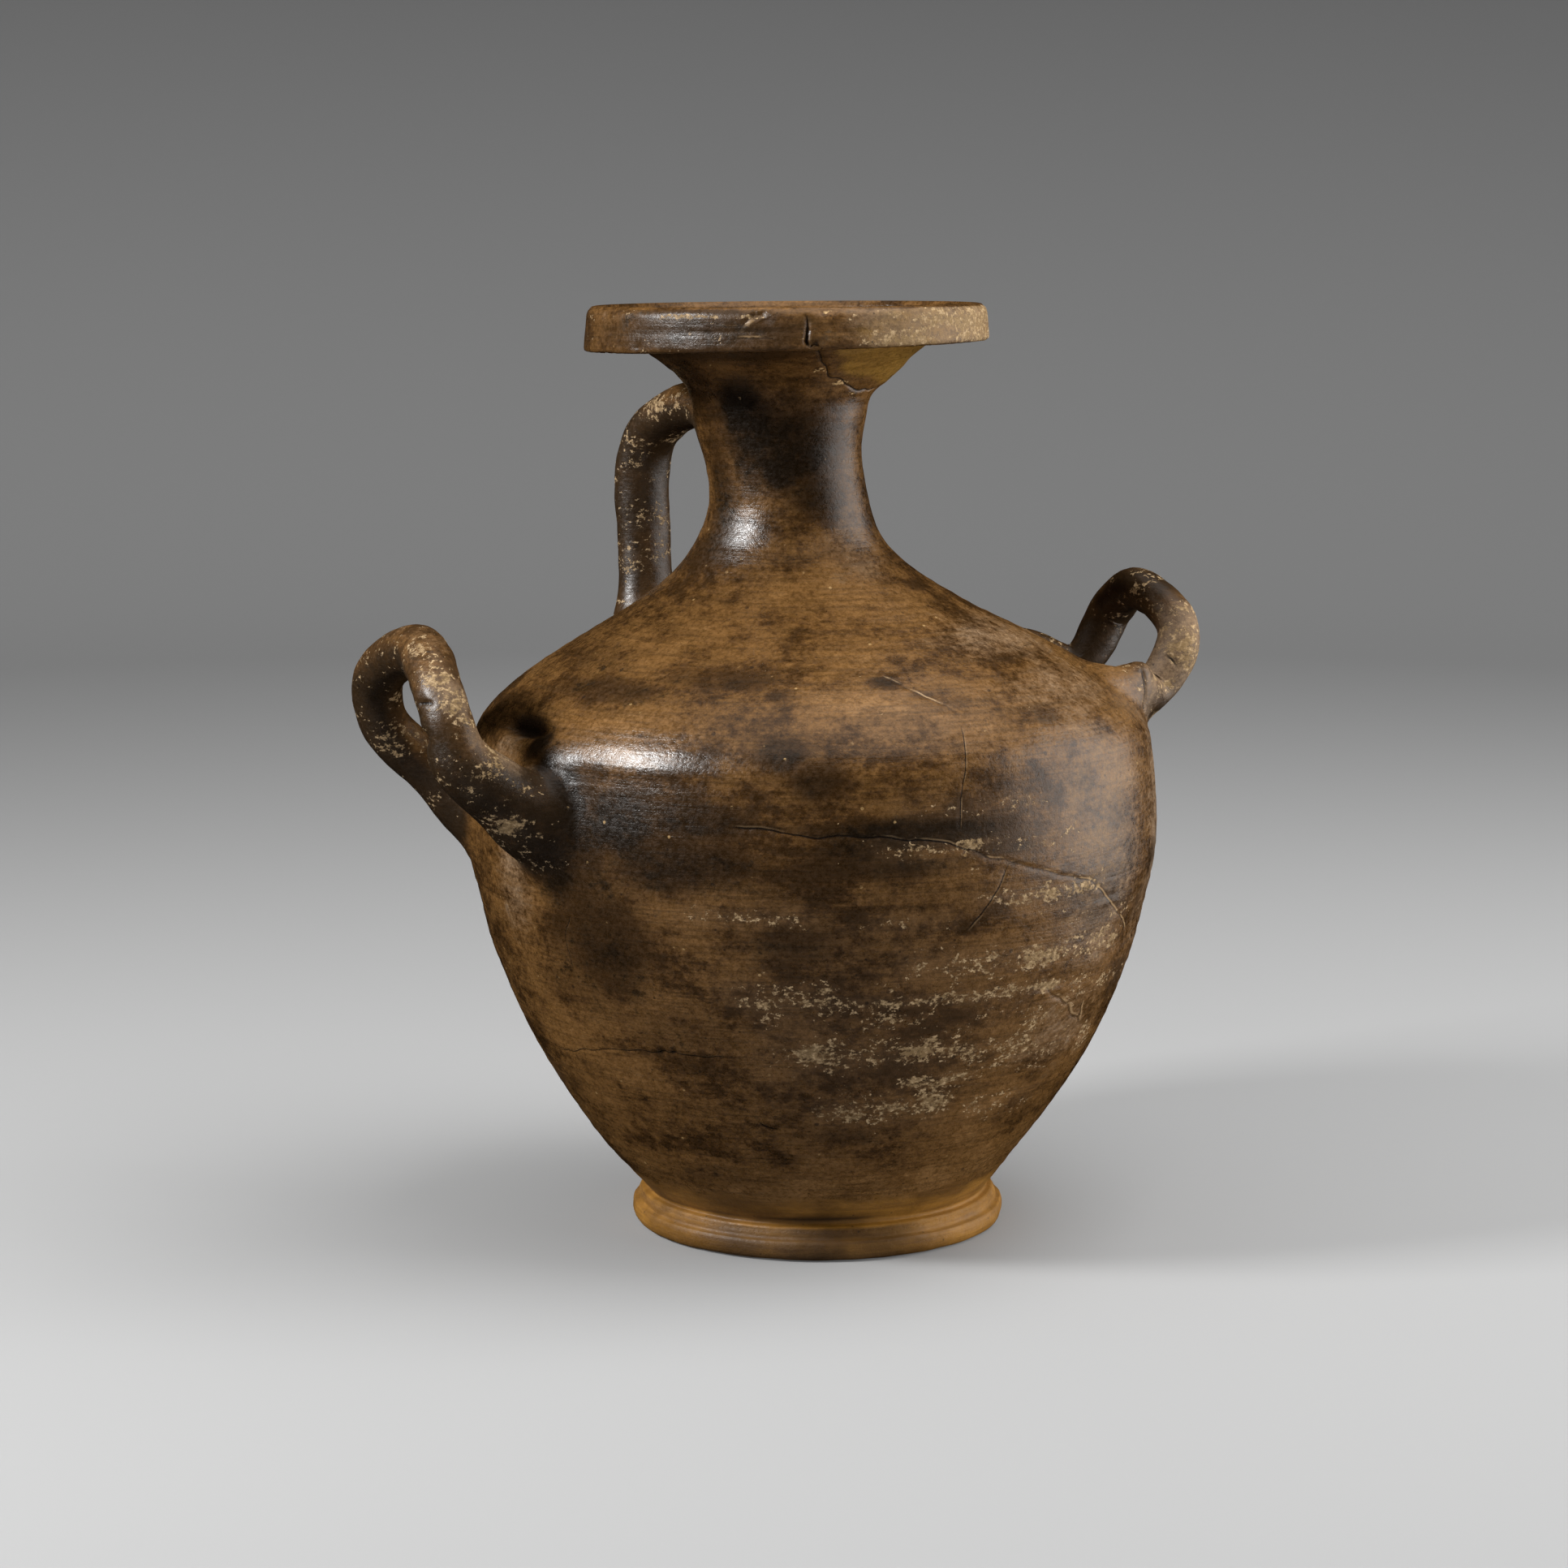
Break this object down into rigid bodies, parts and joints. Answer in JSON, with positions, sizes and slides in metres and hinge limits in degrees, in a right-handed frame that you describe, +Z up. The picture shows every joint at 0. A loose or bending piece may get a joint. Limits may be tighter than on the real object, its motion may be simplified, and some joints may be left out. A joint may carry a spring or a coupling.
{
  "type": "hydria",
  "caption": "Tall round-bodied clay water jar with a disc foot, narrow leaning neck, flat rim, looped side handles and an upright back handle.",
  "frame": {"origin": "middle of the foot's flat underside, on the surface the jar stands on", "axes": "+Z up through the foot's middle; the looped side handles lie along X, the larger one towards -X; the upright handle is on the +Y side"},
  "size_m": [0.3136, 0.254, 0.339],
  "materials": {
    "fired_clay": "satin"
  },
  "bodies": {
    "root": {"hydria": "fired_clay"}
  },
  "joints": []
}
